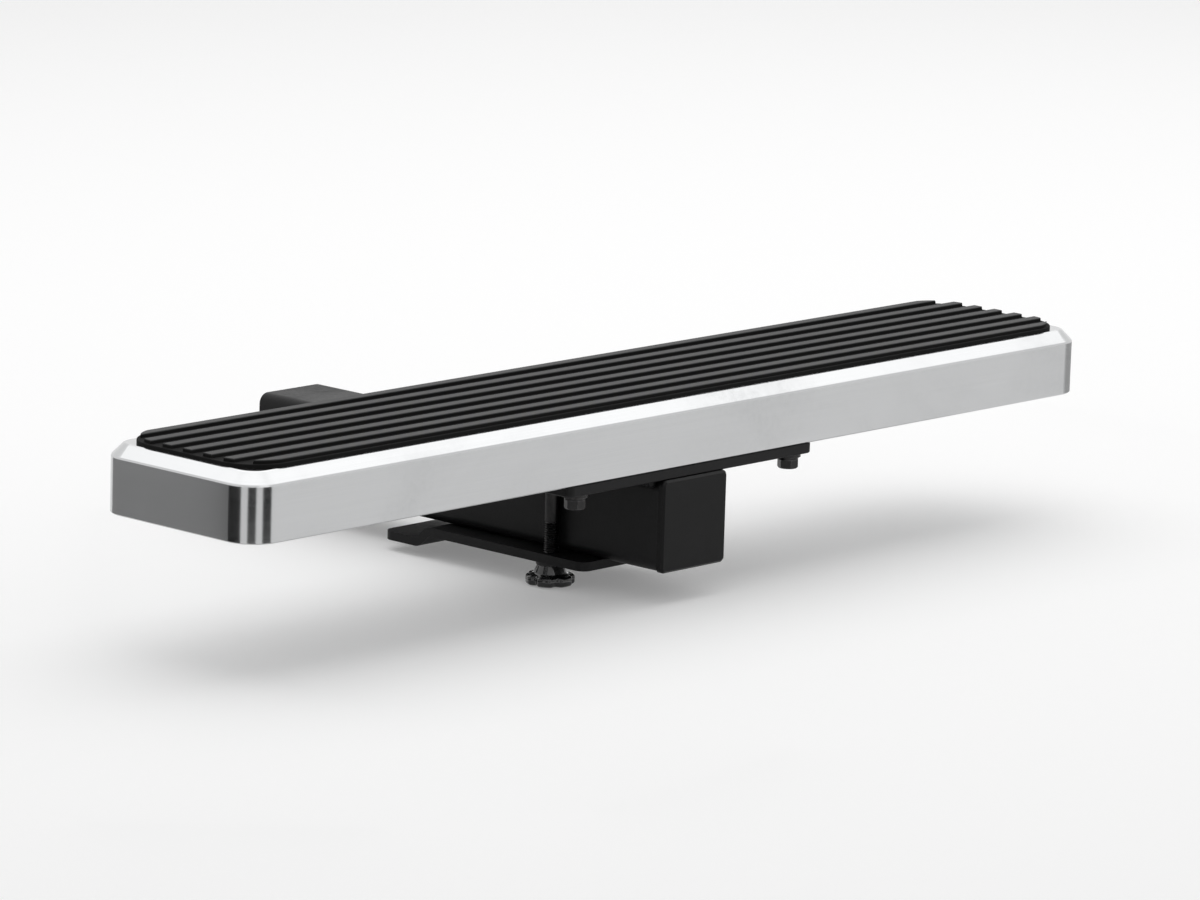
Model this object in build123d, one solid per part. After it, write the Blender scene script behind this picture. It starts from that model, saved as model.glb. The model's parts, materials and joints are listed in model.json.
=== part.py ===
from build123d import *
import math
import os

# Hitch receiver step: a ribbed tread board carried on a square shank that slides into a receiver.
# Millimetres. Origin at the centre of the shank's pin hole, +X across the step, +Y into the receiver, +Z up.

# Tread board
board_length = 660.0
board_width = 114.0
face_height = 30.0
top_chamfer = 6.4
corner_radius = 17.0
edge_break = 0.6
board_setback = 250.0

# Hollow deck of the board
deck_wall = 2.6
deck_top = 3.0
rail_inset = 8.0
rail_lip = 3.0
rail_headroom = 1.2
rail_side_clearance = 0.3
rail_mouth_clearance = 0.5

# End caps and their screws
cap_length = 30.0
cap_wall = 3.0
tongue_length = 25.0
tongue_width = 16.0
tongue_height = 14.0
tongue_clearance = 0.2
screw_diameter = 5.0
screw_head_diameter = 9.0
screw_head_height = 3.0
screw_reach = 11.0
screw_clearance = 0.25

# Tread pad
pad_gap = 0.7
pad_corner = 24.0
pad_base = 2.0
pad_border = 2.0
rib_count = 7
rib_width = 6.6
rib_height = 2.0
rib_draft = 8.0
rib_round = 0.5
key_neck = 3.0
key_head = 5.4
key_depth = 2.6
key_tip = 1.8
key_clearance = 0.2
key_end_gap = 5.0

# Receiver shank and its end plug
shank_side = 50.8
shank_wall = 4.8
shank_corner = 6.0
shank_tip = 60.0
tip_chamfer = 1.0
pin_hole_diameter = 16.5
plug_flange = 4.0
plug_stand_out = 1.5
plug_corner = 3.0
plug_edge = 1.2
plug_depth = 18.0
plug_wall = 2.5
plug_clearance = 0.1
plug_ridge_height = 0.6
plug_ridge_width = 1.6
plug_ridge_count = 3

# Cross bars and weld beads
bar_length = 194.0
bar_width = 24.0
bar_thickness = 6.0
bar_set_in = 0.5
bar_corner = 4.0
bar_edge_chamfer = 0.6
bar_slot_travel = 4.0
bar_slot_clearance = 0.5
bolt_edge_distance = 12.0
weld_leg = 5.0
weld_end_gap = 2.0
weld_root_gap = 0.1

# Rail bolts, washers and nuts
bolt_diameter = 6.0
bolt_flats = 10.0
bolt_head_height = 4.0
bolt_tail = 0.6
nut_height = 4.8
hex_corner_chamfer = 0.7
washer_diameter = 14.0
washer_thickness = 1.6
washer_clearance = 0.2
lock_washer_diameter = 11.4
lock_washer_thickness = 1.6
lock_washer_slit = 1.6
lock_washer_slant = 25.0
thread_clearance = 0.05

# Clamp that takes up the play of the shank in its receiver
rod_diameter = 8.0
rod_gap = 0.3
rod_to_bar_gap = 9.5
rod_tip_chamfer = 1.0
rod_tip_recess = 1.0
plate_thickness = 5.0
plate_leg_edge = 8.3
plate_rear_reach = 32.0
plate_front_reach = 87.0
plate_bend = 3.0
plate_corner = 6.0
plate_hole_clearance = 0.5
lip_drop = 7.0
lip_length = 26.0
clamp_washer_diameter = 16.0
clamp_nut_flats = 13.0
clamp_nut_height = 4.0
clamp_nut_tail = 0.6

# Clamp knob
knob_diameter = 27.0
knob_head_height = 5.5
knob_lobes = 6
knob_scallop = 4.2
knob_scallop_depth = 2.0
knob_edge = 1.0
hub_diameter = 18.0
hub_taper = 1.5
hub_height = 5.5
insert_diameter = 12.0
insert_length = 8.0
insert_clearance = 0.02
knob_end_clearance = 0.6

# Places worked out from the sizes above
shank_top = shank_side / 2
board_bottom = shank_top + bar_thickness
board_rear = -board_setback
board_middle = board_rear + board_width / 2
plateau = face_height + top_chamfer
board_top = board_bottom + plateau
deck_half = board_length / 2 - cap_length
rail_width = bolt_flats + 2 * rail_side_clearance
rail_mouth = bolt_diameter + 2 * rail_mouth_clearance
rail_roof = rail_lip + bolt_head_height + rail_headroom
rail_rows = (board_rear + rail_inset, board_rear + board_width - rail_inset)
bar_inset = bar_set_in + bar_width / 2
bar_rows = (board_rear + bar_inset, board_rear + board_width - bar_inset)
chamber_floor = rail_roof + deck_wall
chamber_roof = plateau - deck_top
web_face = rail_inset + rail_width / 2 + deck_wall
key_line = (web_face + board_width / 2 - deck_wall / 2) / 2
key_lines = (key_line, board_width - key_line)
screw_x = deck_half - tongue_length / 2
bolt_x = bar_length / 2 - bolt_edge_distance
rod_y = bar_rows[1] - bar_width / 2 - rod_to_bar_gap - rod_diameter / 2
leg_x = shank_side / 2 + rod_gap + rod_diameter / 2
plate_top = -shank_side / 2
knob_top = plate_top - plate_thickness - washer_thickness
knob_bottom = knob_top - hub_height - knob_head_height
clamp_nut_bottom = knob_top - clamp_nut_height


def across_board(x):
    """Upright plane across the board: local x is the distance from the rear face, local y the height."""
    return Plane(origin=(x, board_rear, board_bottom), x_dir=(0, 1, 0), z_dir=(1, 0, 0))


def across_shank(y):
    """Upright plane across the shank, looking into the receiver: local x is X, local y is Z."""
    return Plane(origin=(0, y, 0), x_dir=(1, 0, 0), z_dir=(0, -1, 0))


def rectangle_between(x0, x1, y0, y1):
    """Rectangle given by its sides."""
    return Pos((x0 + x1) / 2, (y0 + y1) / 2) * Rectangle(x1 - x0, y1 - y0)


def both_sides(sketch):
    """A half section of the board together with its mirror image about the board's middle."""
    return sketch + mirror(sketch, about=Plane.YZ.offset(board_width / 2))


def group(solids):
    """Separate solids gathered as one node."""
    return Compound([solid for shape in solids for solid in shape.solids()])


# Deck: one hollow extrusion with two bolt rails below, webs inside and two key slots in its top
def deck_section():
    """Section of the deck extrusion."""
    corners = [
        (0, 0),
        (board_width, 0),
        (board_width, face_height),
        (board_width - top_chamfer, plateau),
        (top_chamfer, plateau),
        (0, face_height),
    ]
    outer = make_face(Polyline(*corners, close=True))
    outer = chamfer(outer.vertices(), edge_break)
    rail_far = rail_inset + rail_width / 2
    slant = deck_wall * math.sqrt(2)
    side_chamber = make_face(
        Polyline(
            (deck_wall, chamber_floor),
            (rail_far, chamber_floor),
            (rail_far, chamber_roof),
            (top_chamfer - deck_top + slant, chamber_roof),
            (deck_wall, face_height + deck_wall - slant),
            close=True,
        )
    )
    hollows = [
        side_chamber,
        rectangle_between(web_face, board_width / 2 - deck_wall / 2, chamber_floor, chamber_roof),
        rectangle_between(rail_inset - rail_width / 2, rail_far, rail_lip, rail_roof),
        Pos(rail_inset, rail_lip / 2) * Rectangle(rail_mouth, rail_lip),
        rectangle_between(web_face, board_width / 2, 0, rail_roof),
        Pos(key_line, plateau - deck_top / 2) * Rectangle(key_neck + 2 * key_clearance, deck_top),
    ]
    section = outer
    for hollow in hollows:
        section -= both_sides(hollow)
    return section


def make_deck():
    """Deck extrusion with the holes of the cap screws through its middle floor."""
    deck = extrude(across_board(-deck_half) * deck_section(), 2 * deck_half)
    radius = screw_diameter / 2 + screw_clearance
    for x in (-screw_x, screw_x):
        for line in key_lines:
            middle = board_bottom + rail_roof + deck_wall / 2
            deck -= Pos(x, board_rear + line, middle) * Cylinder(radius, 2 * deck_wall)
    return deck


# End caps: hollow castings with the deck's outline, a rounded end and two tongues that plug into the deck
def cap_block(inset, base, top, chamfer_leg):
    """Right-hand cap outline, set in by a wall, between two heights above the board's underside."""
    length = cap_length - inset
    plan = Pos(deck_half + length / 2, board_middle) * Rectangle(length, board_width - 2 * inset)
    plan = fillet(plan.vertices().group_by(Axis.X)[-1], corner_radius - inset)
    block = extrude(Pos(0, 0, board_bottom + base) * plan, top - base)
    top_edges = block.edges().group_by(Axis.Z)[-1]
    outer_edges = top_edges.filter_by(lambda edge: edge.center().X > deck_half + edge_break)
    return chamfer(outer_edges, chamfer_leg)


def make_right_cap():
    """Right end cap: shell, tongues and screw holes."""
    cap = cap_block(0, 0, plateau, top_chamfer)
    level = cap.edges().filter_by(lambda edge: edge.bounding_box().size.Z < edge_break)
    rims = level.filter_by(lambda edge: edge.center().X > deck_half + edge_break)
    cap = chamfer(rims, edge_break)
    inner_leg = top_chamfer - (2 - math.sqrt(2)) * cap_wall
    cap -= cap_block(cap_wall, cap_wall, plateau - cap_wall, inner_leg)
    tongue_start = deck_half - tongue_length
    tongue_end = board_length / 2 - cap_wall / 2
    tongue_middle = board_bottom + chamber_floor + tongue_clearance + tongue_height / 2
    for line in key_lines:
        place = Pos((tongue_start + tongue_end) / 2, board_rear + line, tongue_middle)
        cap += place * Box(tongue_end - tongue_start, tongue_width, tongue_height)
        hole = Cylinder(screw_diameter / 2 + thread_clearance, 2 * tongue_height)
        cap -= Pos(screw_x, board_rear + line, tongue_middle) * hole
    return cap


def make_cap_screws():
    """Four pan-head screws, driven up through the deck's middle floor into the tongues."""
    seat = board_bottom + rail_roof
    head = Cylinder(screw_head_diameter / 2, screw_head_height, align=(Align.CENTER, Align.CENTER, Align.MAX))
    shaft_length = deck_wall + tongue_clearance + screw_reach
    screw = head + Cylinder(screw_diameter / 2, shaft_length, align=(Align.CENTER, Align.CENTER, Align.MIN))
    places = [(x, board_rear + line) for x in (-screw_x, screw_x) for line in key_lines]
    return group([Pos(x, y, seat) * screw for x, y in places])


# Tread pad: a ribbed moulding over the deck and both caps, held by two barbed keys in the deck's slots
def make_tread_pad():
    """Pad base, tapered ribs cut to the pad's rounded outline, and the keys below."""
    length = board_length - 2 * (top_chamfer + pad_gap)
    width = board_width - 2 * (top_chamfer + pad_gap)
    base = extrude(Pos(0, board_middle, board_top) * RectangleRounded(length, width, pad_corner), pad_base)
    base = fillet(base.edges().group_by(Axis.Z)[-1], rib_round)
    lean = rib_height * math.tan(math.radians(rib_draft))
    rib = make_face(
        Polyline(
            (-rib_width / 2, 0),
            (rib_width / 2, 0),
            (rib_width / 2 - lean, rib_height),
            (lean - rib_width / 2, rib_height),
            close=True,
        )
    )
    rib = fillet(rib.vertices().group_by(Axis.Y)[-1], rib_round)
    pitch = (width - 2 * pad_border - rib_width) / (rib_count - 1)
    first_rib = board_width / 2 - (rib_count - 1) / 2 * pitch
    ribs = [Pos(first_rib + index * pitch, plateau + pad_base) * rib for index in range(rib_count)]
    rib_field = RectangleRounded(length - 2 * pad_border, width - 2 * pad_border, pad_corner - pad_border)
    rib_room = extrude(Pos(0, board_middle, board_top + pad_base) * rib_field, rib_height)
    start = across_board(-length / 2)
    pad = base
    for section in ribs:
        pad += extrude(start * section, length) & rib_room
    barb = deck_top + key_clearance
    key = make_face(
        Polyline(
            (-key_neck / 2, 0),
            (key_neck / 2, 0),
            (key_neck / 2, -barb),
            (key_head / 2, -barb),
            (key_tip / 2, -barb - key_depth),
            (-key_tip / 2, -barb - key_depth),
            (-key_head / 2, -barb),
            (-key_neck / 2, -barb),
            close=True,
        )
    )
    key_half = deck_half - tongue_length - key_end_gap
    for line in key_lines:
        pad += extrude(across_board(-key_half) * Pos(line, plateau) * key, 2 * key_half)
    return pad


# Receiver shank: square tube with a cross hole for the hitch pin, closed at the rear by a moulded plug
def shank_outline(grow=0.0):
    """Outer outline of the tube, grown by a gap."""
    side = shank_side + 2 * grow
    return RectangleRounded(side, side, shank_corner + grow)


shank_rear = board_rear - plug_stand_out + plug_flange
bore_side = shank_side - 2 * shank_wall
bore_corner = shank_corner - shank_wall


def make_shank():
    """Square tube with its pin hole and a broken front edge."""
    section = shank_outline() - RectangleRounded(bore_side, bore_side, bore_corner)
    tube = extrude(across_shank(shank_rear) * section, -(shank_tip - shank_rear))
    outer_front = tube.faces().sort_by(Axis.Y)[-1].outer_wire().edges()
    tube = chamfer(outer_front, tip_chamfer)
    return tube - Cylinder(pin_hole_diameter / 2, 2 * shank_side, rotation=(0, 90, 0))


def make_end_plug():
    """Flanged plug with a hollow square stem and grip ridges."""
    outline = RectangleRounded(shank_side, shank_side, plug_corner)
    flange = extrude(across_shank(shank_rear) * outline, plug_flange)
    flange = chamfer(flange.faces().sort_by(Axis.Y)[0].edges(), plug_edge)
    stem_side = bore_side - 2 * (plug_clearance + plug_ridge_height)
    hollow_side = stem_side - 2 * plug_wall
    stem = Rectangle(stem_side, stem_side) - Rectangle(hollow_side, hollow_side)
    plug = flange + extrude(across_shank(shank_rear) * stem, -plug_depth)
    ridge_side = bore_side - 2 * plug_clearance
    ridge = RectangleRounded(ridge_side, ridge_side, bore_corner) - Rectangle(hollow_side, hollow_side)
    pitch = plug_depth / plug_ridge_count
    for index in range(plug_ridge_count):
        y = shank_rear + (index + 1) * pitch - plug_ridge_width
        plug += extrude(across_shank(y) * ridge, -plug_ridge_width)
    return plug


# Cross bars: two flat bars welded across the shank, slotted for the rail bolts
def make_cross_bar(bar_y, bolt_y):
    """Flat bar with two slots and broken edges."""
    slot_width = bolt_diameter + 2 * bar_slot_clearance
    slot = SlotOverall(slot_width + bar_slot_travel, slot_width)
    outline = RectangleRounded(bar_length, bar_width, bar_corner)
    bar = extrude(Pos(0, bar_y, shank_top) * outline, bar_thickness)
    rims = bar.edges().group_by(Axis.Z)
    bar = chamfer(rims[0] + rims[-1], bar_edge_chamfer)
    for x in (-bolt_x, bolt_x):
        bar -= extrude(Pos(x, bolt_y, shank_top) * slot, bar_thickness)
    return bar


def make_weld_beads():
    """Rounded fillet beads in the corners between the shank and the bars."""
    corner = (shank_side / 2, shank_top)
    below_bar = rectangle_between(0, shank_side, 0, shank_top)
    bead = (Pos(*corner) * Circle(weld_leg)) & below_bar
    bead -= shank_outline(weld_root_gap)
    right = []
    for y in bar_rows:
        start = max(y - bar_width / 2, shank_rear) + weld_end_gap
        end = y + bar_width / 2 - weld_end_gap
        right.append(extrude(across_shank(start) * bead, start - end))
    left = [mirror(solid, about=Plane.YZ) for solid in right]
    return group(left + right)


# Rail bolts: hexagon heads held in the rails, with a washer, a spring washer and a nut below each bar
bolt_places = [(x, y) for y in rail_rows for x in (-bolt_x, bolt_x)]
washer_seat = shank_top
lock_seat = washer_seat - washer_thickness
nut_seat = lock_seat - lock_washer_thickness
bolt_tip = nut_seat - nut_height - bolt_tail


def hexagon(flats):
    """Hexagon with its flats facing +Y and -Y."""
    return RegularPolygon(flats / 2, 6, major_radius=False)


def ring(outer_diameter, bore_radius, thickness):
    """Flat ring that hangs below its own origin."""
    disc = Circle(outer_diameter / 2) - Circle(bore_radius)
    return extrude(disc, -thickness)


def make_rail_bolts():
    """Four hexagon-head bolts hanging from the rails."""
    seat = board_bottom + rail_lip
    shaft = Cylinder(bolt_diameter / 2, seat - bolt_tip, align=(Align.CENTER, Align.CENTER, Align.MAX))
    bolt = extrude(hexagon(bolt_flats), bolt_head_height) + shaft
    return group([Pos(x, y, seat) * bolt for x, y in bolt_places])


def make_flat_washers():
    """Four flat washers under the cross bars."""
    washer = ring(washer_diameter, bolt_diameter / 2 + washer_clearance, washer_thickness)
    return group([Pos(x, y, washer_seat) * washer for x, y in bolt_places])


def make_lock_washers():
    """Four spring washers, each split by a slanted slit."""
    washer = ring(lock_washer_diameter, bolt_diameter / 2 + washer_clearance, lock_washer_thickness)
    slit = Box(lock_washer_diameter, lock_washer_slit, 4 * lock_washer_thickness)
    slit = Rot(lock_washer_slant, 0, 0) * slit
    washer -= Pos(lock_washer_diameter / 2, 0, -lock_washer_thickness / 2) * slit
    return group([Pos(x, y, lock_seat) * washer for x, y in bolt_places])


def hex_nut(flats, height, thread_diameter):
    """Nut that hangs below its own origin, with corners turned off at its lower end."""
    corner_reach = flats / math.sqrt(3)
    turned = extrude(Circle(corner_reach), -height)
    turned = chamfer(turned.edges().group_by(Axis.Z)[0], hex_corner_chamfer)
    bore = Cylinder(thread_diameter / 2 + thread_clearance, 4 * height)
    return (extrude(hexagon(flats), -height) & turned) - bore


def make_hex_nuts():
    """Four nuts that draw the board down on the bars."""
    nut = hex_nut(bolt_flats, nut_height, bolt_diameter)
    return group([Pos(x, y, nut_seat) * nut for x, y in bolt_places])


# Clamp: a U-bolt over the shank draws a stepped plate up against the shank and the receiver's lower wall
def make_clamp_u_bolt():
    """Round rod bent over the shank with a constant gap, its long leg for the knob, its leg ends broken."""
    crown = shank_top + rod_gap + rod_diameter / 2
    long_tip = knob_bottom + rod_tip_recess
    short_tip = clamp_nut_bottom - clamp_nut_tail
    bend = shank_corner + rod_gap + rod_diameter / 2
    corners = [
        (-leg_x, rod_y, long_tip),
        (-leg_x, rod_y, crown),
        (leg_x, rod_y, crown),
        (leg_x, rod_y, short_tip),
    ]
    path = FilletPolyline(*corners, radius=bend)
    rod = sweep(Pos(-leg_x, rod_y, long_tip) * Circle(rod_diameter / 2), path)
    return chamfer(rod.faces().filter_by(GeomType.PLANE).edges(), rod_tip_chamfer)


def make_clamp_plate():
    """Long flat plate with a front lip that steps down by the receiver's wall, and two leg holes."""
    half_turn = math.tan(math.radians(22.5))
    rear = rod_y - plate_rear_reach
    bend_start = rod_y + plate_front_reach
    bend_end = bend_start + lip_drop
    front = bend_end + lip_length
    shift = plate_thickness * half_turn
    under = plate_top - plate_thickness
    lip_top = plate_top - lip_drop
    lip_under = under - lip_drop
    upper = [(rear, plate_top), (bend_start, plate_top), (bend_end, lip_top), (front, lip_top)]
    lower = [(rear, under), (bend_start - shift, under), (bend_end - shift, lip_under), (front, lip_under)]
    outside = plate_bend + plate_thickness
    upper_line = FilletPolyline(*upper, radius=[outside, plate_bend])
    lower_line = FilletPolyline(*lower, radius=[plate_bend, outside])
    ends = [Line(upper[0], lower[0]), Line(upper[-1], lower[-1])]
    section = make_face([upper_line, lower_line, *ends])
    width = 2 * (leg_x + plate_leg_edge)
    plate = extrude(Plane.YZ.offset(-width / 2) * section, width)
    plate = fillet(plate.edges().filter_by(Axis.Z), plate_corner)
    for x in (-leg_x, leg_x):
        plate -= Pos(x, rod_y, under) * Cylinder(rod_diameter / 2 + plate_hole_clearance, 4 * plate_thickness)
    return plate


def make_clamp_washers():
    """Two washers, one above the knob and one above the clamp nut."""
    washer = ring(clamp_washer_diameter, rod_diameter / 2 + washer_clearance, washer_thickness)
    return group([Pos(x, rod_y, plate_top - plate_thickness) * washer for x in (-leg_x, leg_x)])


def make_clamp_nut():
    """Thin nut on the short leg of the U-bolt."""
    nut = hex_nut(clamp_nut_flats, clamp_nut_height, rod_diameter)
    return Pos(leg_x, rod_y, knob_top) * nut


# Clamp knob: a lobed hand knob on the long leg, hub upwards, moulded round a threaded insert
def make_knob():
    """Lobed head below a tapered hub, bored for its insert and for the end of the rod."""
    head_outline = Circle(knob_diameter / 2)
    scallop_reach = knob_diameter / 2 - knob_scallop_depth + knob_scallop
    for index in range(knob_lobes):
        head_outline -= Rot(0, 0, index * 360 / knob_lobes) * Pos(scallop_reach, 0) * Circle(knob_scallop)
    head = extrude(head_outline, knob_head_height)
    head = chamfer(head.edges().group_by(Axis.Z)[0], knob_edge)
    foot = hub_diameter / 2
    hub = Cone(foot, foot - hub_taper, hub_height, align=(Align.CENTER, Align.CENTER, Align.MIN))
    knob = head + Pos(0, 0, knob_head_height) * hub
    top = hub_height + knob_head_height
    seat = extrude(Circle(insert_diameter / 2 + insert_clearance), -insert_length)
    knob -= Pos(0, 0, top) * seat
    knob -= Cylinder(rod_diameter / 2 + knob_end_clearance, 2 * top)
    return Pos(-leg_x, rod_y, knob_bottom) * knob


def make_knob_insert():
    """Threaded bush of the knob, flush with the top of the hub."""
    bush = ring(insert_diameter, rod_diameter / 2 + thread_clearance, insert_length)
    return Pos(-leg_x, rod_y, knob_top) * bush


right_cap = make_right_cap()
parts = {
    "deck_extrusion": make_deck(),
    "right_end_cap": right_cap,
    "left_end_cap": mirror(right_cap, about=Plane.YZ),
    "end_cap_screws": make_cap_screws(),
    "tread_pad": make_tread_pad(),
    "shank_tube": make_shank(),
    "shank_end_plug": make_end_plug(),
    "rear_cross_bar": make_cross_bar(bar_rows[0], rail_rows[0]),
    "front_cross_bar": make_cross_bar(bar_rows[1], rail_rows[1]),
    "weld_beads": make_weld_beads(),
    "rail_bolts": make_rail_bolts(),
    "flat_washers": make_flat_washers(),
    "lock_washers": make_lock_washers(),
    "hex_nuts": make_hex_nuts(),
    "clamp_u_bolt": make_clamp_u_bolt(),
    "clamp_plate": make_clamp_plate(),
    "clamp_washers": make_clamp_washers(),
    "clamp_nut": make_clamp_nut(),
    "left_clamp_knob": make_knob(),
    "left_knob_insert": make_knob_insert(),
}

os.makedirs("parts", exist_ok=True)
for name, shape in parts.items():
    export_step(shape, f"parts/{name}.step")
    print(name, "volume", round(shape.volume))
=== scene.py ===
# %% [markdown]
# # A hitch receiver step
# A hitch receiver step is a ribbed board bolted to a square shank, with a clamp below that takes the
# play out of the shank. Its solids come in first, at their true size and place. The cells below put finer
# meshes in the place of five of them and give every piece its finish. The box of the bare solids is kept,
# and the floor and the dark cards are placed from it.

# %% Load the solids
import json
import math
import random

import bmesh
import bpy
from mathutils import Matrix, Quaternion, Vector


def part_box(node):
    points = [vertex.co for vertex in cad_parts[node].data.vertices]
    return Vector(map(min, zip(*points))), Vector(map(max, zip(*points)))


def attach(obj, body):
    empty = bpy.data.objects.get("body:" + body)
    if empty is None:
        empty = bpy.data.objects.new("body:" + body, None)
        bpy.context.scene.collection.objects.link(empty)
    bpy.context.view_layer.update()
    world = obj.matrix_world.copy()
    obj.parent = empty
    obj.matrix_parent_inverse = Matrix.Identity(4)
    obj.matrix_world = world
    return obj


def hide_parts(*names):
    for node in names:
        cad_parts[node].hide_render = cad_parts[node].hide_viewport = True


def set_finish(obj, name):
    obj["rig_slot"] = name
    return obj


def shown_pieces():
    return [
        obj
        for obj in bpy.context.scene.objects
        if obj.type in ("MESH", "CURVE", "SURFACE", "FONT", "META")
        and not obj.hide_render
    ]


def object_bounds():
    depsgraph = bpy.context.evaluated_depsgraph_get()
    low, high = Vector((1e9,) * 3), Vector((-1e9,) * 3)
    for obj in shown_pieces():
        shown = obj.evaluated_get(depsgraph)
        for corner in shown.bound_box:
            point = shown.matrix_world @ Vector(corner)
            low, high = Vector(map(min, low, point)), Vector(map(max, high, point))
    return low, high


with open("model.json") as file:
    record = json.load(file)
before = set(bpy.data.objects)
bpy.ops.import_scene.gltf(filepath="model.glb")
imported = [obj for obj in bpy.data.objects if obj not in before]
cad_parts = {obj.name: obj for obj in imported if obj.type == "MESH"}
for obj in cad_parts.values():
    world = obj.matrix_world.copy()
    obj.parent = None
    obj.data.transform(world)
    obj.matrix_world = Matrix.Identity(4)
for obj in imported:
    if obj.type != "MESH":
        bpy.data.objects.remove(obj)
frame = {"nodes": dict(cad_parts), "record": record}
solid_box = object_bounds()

MM = 0.001
X_AXIS = Vector((1, 0, 0))
Y_AXIS = Vector((0, 1, 0))
Z_AXIS = Vector((0, 0, 1))


def box_sides(box):
    """Sides of a box in millimetres."""
    return [round(side / MM, 1) for side in box[1] - box[0]]


print(len(frame["nodes"]), "nodes, size in mm:", box_sides(solid_box))

# %% [markdown]
# ## From points to a piece
# Most small metal and moulded parts are a stack of rings or rows. A lathe, a sweep and a thread all come
# down to the same thing: rows of points with quads between them. One helper makes the quads and another
# hands the finished mesh to the body that it moves with. Points that fall on each other are merged, so a
# row that shrinks to one point closes an end, and a last column that repeats the first closes a ring.

# %% Helpers that build meshes
MERGE = 0.002 * MM
SHARP_ANGLE = math.radians(38)


def skin(mesh, rows):
    """Quads between neighbouring rows of points."""
    grid = [[mesh.verts.new(point) for point in row] for row in rows]
    for lower, upper in zip(grid, grid[1:]):
        for column in range(len(lower) - 1):
            mesh.faces.new((lower[column], lower[column + 1], upper[column + 1], upper[column]))


def clean(mesh):
    """Merges points that coincide, drops empty faces and turns all faces outwards."""
    bmesh.ops.remove_doubles(mesh, verts=mesh.verts, dist=MERGE)
    bmesh.ops.dissolve_degenerate(mesh, edges=mesh.edges, dist=MERGE / 2)
    bmesh.ops.recalc_face_normals(mesh, faces=mesh.faces)


def new_object(mesh, name):
    """An object in the scene from a bmesh, which is used up."""
    data = bpy.data.meshes.new(name)
    mesh.to_mesh(data)
    mesh.free()
    made = bpy.data.objects.new(name, data)
    bpy.context.scene.collection.objects.link(made)
    return made


def make_piece(mesh, name, body, slot, *stands_for):
    """A piece from a bmesh, which rides a body, names its finish and stands for solids."""
    clean(mesh)
    for face in mesh.faces:
        face.smooth = True
    piece = new_object(mesh, name)
    piece.data.set_sharp_from_angle(angle=SHARP_ANGLE)
    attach(piece, body)
    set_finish(piece, slot)
    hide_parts(*stands_for)
    print(name, "has", len(piece.data.polygons), "faces and stands for", ", ".join(stands_for))


print("points closer than", MERGE / MM, "mm become one")

# %% [markdown]
# ## Screw threads
# The clamp's bent rod and the rail bolts carry coarse threads. A thread could be faked with stripes in a
# material, but its zigzag outline shows against the light, so it is modelled. The trick is to let the
# rows climb by one pitch for each turn: then a whole row lies on the crest or in the root, and few rows
# give a sharp thread. Rows are cut off square at both ends, and the depth fades there, so the thread runs
# out into the plain rod.

# %% Thread rows
THREAD_DEPTH_IN_PITCHES = 0.56
CREST_FLAT = 0.2
ROOT_FLAT = 0.2
ROWS_PER_PITCH = 6
ROD_SIDES = 32
TURNS = [2 * math.pi * side / ROD_SIDES for side in range(ROD_SIDES + 1)]


def thread_dip(row):
    """Share of the thread's depth in a row: none on the crest, all at the root, with a flat at each."""
    phase = row % ROWS_PER_PITCH / ROWS_PER_PITCH
    from_crest = abs(2 * phase - 1)
    return min(max((from_crest - CREST_FLAT) / (1 - CREST_FLAT - ROOT_FLAT), 0), 1)


def thread_rows(start, end, radius, pitch):
    """Rows of (distance along the rod, turn, radius) of a right-hand thread between two distances."""
    rows = []
    step = pitch / ROWS_PER_PITCH
    last = math.ceil((end - start) / step)
    for row in range(-ROWS_PER_PITCH, last + 1):
        depth = THREAD_DEPTH_IN_PITCHES * pitch * thread_dip(row)
        points = []
        for turn in TURNS:
            climbing = start + row * step + pitch * turn / (2 * math.pi)
            along = min(max(climbing, start), end)
            fade = min((along - start) / pitch, (end - along) / pitch, 1)
            points.append((along, turn, radius - depth * fade))
        rows.append(points)
    return rows


print("threads with", ROWS_PER_PITCH, "rows to a pitch and", ROD_SIDES, "points to a row")

# %% [markdown]
# ## Rods from rows
# A row only says how far along the rod each of its points is, at which turn and how far out. Where that
# is in space is left to a place function, which gives the rod's centre and its outward direction at any
# distance. So the same rows serve a straight bolt and a bent rod.

# %% Helpers for rods
TIP_CONE = 1.0 * MM


def plain_row(along, radius):
    """One square row round the rod."""
    return [(along, turn, radius) for turn in TURNS]


def tip_rows(along, inwards, radius):
    """Rows that close a rod's tip with a small cone: a point, the cone's foot and its top."""
    foot = plain_row(along, radius - TIP_CONE)
    top = plain_row(along + inwards * TIP_CONE, radius)
    return [plain_row(along, 0), foot, top]


def rod_points(row, place):
    """Points in space of one row round a rod."""
    points = []
    for along, turn, radius in row:
        centre, outward = place(along)
        points.append(centre + radius * (math.cos(turn) * outward - math.sin(turn) * Y_AXIS))
    return points


print("rod tips with a cone of", round(TIP_CONE / MM, 1), "mm")

# %% [markdown]
# ## The clamp's bent rod
# A U-bolt goes over the shank, and a nut and a hand knob on its threaded legs pull a plate up from below.
# On the real one a plain rod is threaded at both ends and then bent. The mesh follows the same order: a
# line with a long leg for the knob, a crown between two bends and a short leg for the nut, and rows of
# points set out along it. Its reach is read off the solids that it stands for or carries.

# %% Sizes of the U-bolt
rod_low, rod_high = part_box("clamp_u_bolt")
rod_radius = (rod_high.y - rod_low.y) / 2
rod_y = (rod_high.y + rod_low.y) / 2
leg_x = rod_high.x - rod_radius
crown_z = rod_high.z - rod_radius
rod_bend = 10.3 * MM
rod_pitch = 1.25 * MM
leg_thread = 34.0 * MM
nut_tail = 0.6 * MM
bend_steps = 10

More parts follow.
